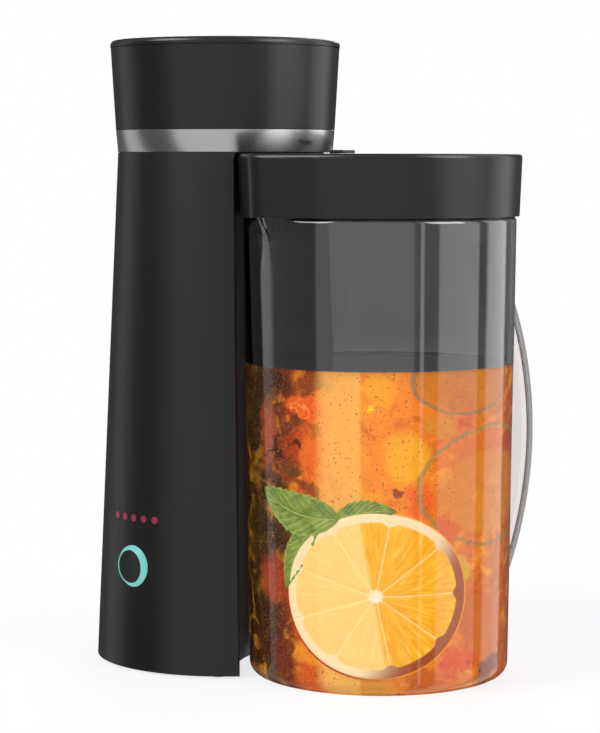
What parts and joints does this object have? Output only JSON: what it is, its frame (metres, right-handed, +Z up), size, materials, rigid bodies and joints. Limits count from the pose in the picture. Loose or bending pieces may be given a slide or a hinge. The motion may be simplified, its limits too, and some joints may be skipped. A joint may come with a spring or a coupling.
{
  "type": "iced tea maker",
  "caption": "Tapered water-heating tower with a hinged top lid and a lit push button, beside a lidded clear pitcher that slides out of its round nest.",
  "frame": {"origin": "on the table, under the middle of the whole object's bounding box, with the pitcher docked and the lids closed", "axes": "+Z up; -Y is the front, which the power button faces; +X towards the pitcher's side. The pitcher's axis lies 14.5 degrees behind +X, seen from the tower's"},
  "size_m": [0.222, 0.181, 0.3121],
  "materials": {
    "charcoal_plastic": "fine satin texture",
    "head_plastic": "fine satin texture",
    "lid_plastic": "fine satin texture",
    "band_steel": "brushed round the band",
    "pin_steel": "satin",
    "fastener_steel": "zinc plated",
    "bracket_steel": "plain sheet",
    "spring_steel": "bright wire",
    "heater_metal": "as cast",
    "foot_rubber": "matt",
    "seal_rubber": "silicone",
    "hose_silicone": "translucent silicone",
    "lead_sleeve": "sleeved wire",
    "base_plastic": "moulded",
    "deck_plastic": "moulded",
    "tank_plastic": "translucent",
    "valve_plastic": "moulded",
    "ceramic": "glazed sleeve and tab",
    "phenolic": "moulded",
    "board_green": "lacquered board",
    "relay_plastic": "moulded",
    "switch_plastic": "moulded",
    "button_plastic": "polished",
    "ring_light": "lit, translucent",
    "lamp_red": "lit, translucent",
    "jug_clear": "clear with a smoke tint",
    "basket_plastic": "smoke tinted",
    "mesh_plastic": "perforated"
  },
  "bodies": {
    "tower": {"tower_shell": "charcoal_plastic", "base_plate": "base_plastic", "rubber_feet": "foot_rubber", "base_screws": "fastener_steel", "trim_band": "band_steel", "head_shell": "head_plastic", "head_deck": "deck_plastic", "lid_hinge_pin": "pin_steel", "water_tank": "tank_plastic", "tank_seal": "seal_rubber", "check_valve": "valve_plastic", "inlet_hose": "hose_silicone", "riser_tube": "hose_silicone", "heater_tube": "heater_metal", "heater_terminals": "ceramic", "heater_bracket": "bracket_steel", "heater_screws": "fastener_steel", "thermostat": "phenolic", "thermal_fuse": "pin_steel", "leads": "lead_sleeve", "outlet_nozzle": "valve_plastic", "control_board": "board_green", "board_screws": "fastener_steel", "relay": "relay_plastic", "tact_switch": "switch_plastic", "light_ring": "ring_light", "button_spring": "spring_steel", "light_pipe": "lamp_red", "cord_gland": "foot_rubber"},
    "top_lid": {"tower_lid": "head_plastic"},
    "power_button": {"button_cap": "button_plastic"},
    "pitcher": {"jug": "jug_clear", "pitcher_lid": "lid_plastic", "lid_seal": "seal_rubber", "flap_hinge_pin": "pin_steel", "brew_basket": "basket_plastic", "basket_mesh": "mesh_plastic"},
    "flap": {"lid_flap": "lid_plastic"}
  },
  "joints": [
    {"name": "top_lid_hinge", "type": "hinge", "parent": "tower", "child": "top_lid", "pos_m": [-0.04471, 0.03728, 0.3089], "axis": [-1, 0, 0], "range_deg": [0, 100]},
    {"name": "power_button_press", "type": "slide", "parent": "tower", "child": "power_button", "axis": [0, 1, 0], "range_m": [0, 0.0012], "stiffness_N_per_m": 600, "springref_m": -0.002, "deforming": ["button_spring"]},
    {"name": "pitcher_slide", "type": "slide", "parent": "tower", "child": "pitcher", "axis": [0.9681, 0.2504, 0], "range_m": [0, 0.12]},
    {"name": "flap_hinge", "type": "hinge", "parent": "pitcher", "child": "flap", "pos_m": [0.08124, 0.00836, 0.2532], "axis": [-0.2504, 0.9681, 0], "range_deg": [0, 95]}
  ]
}
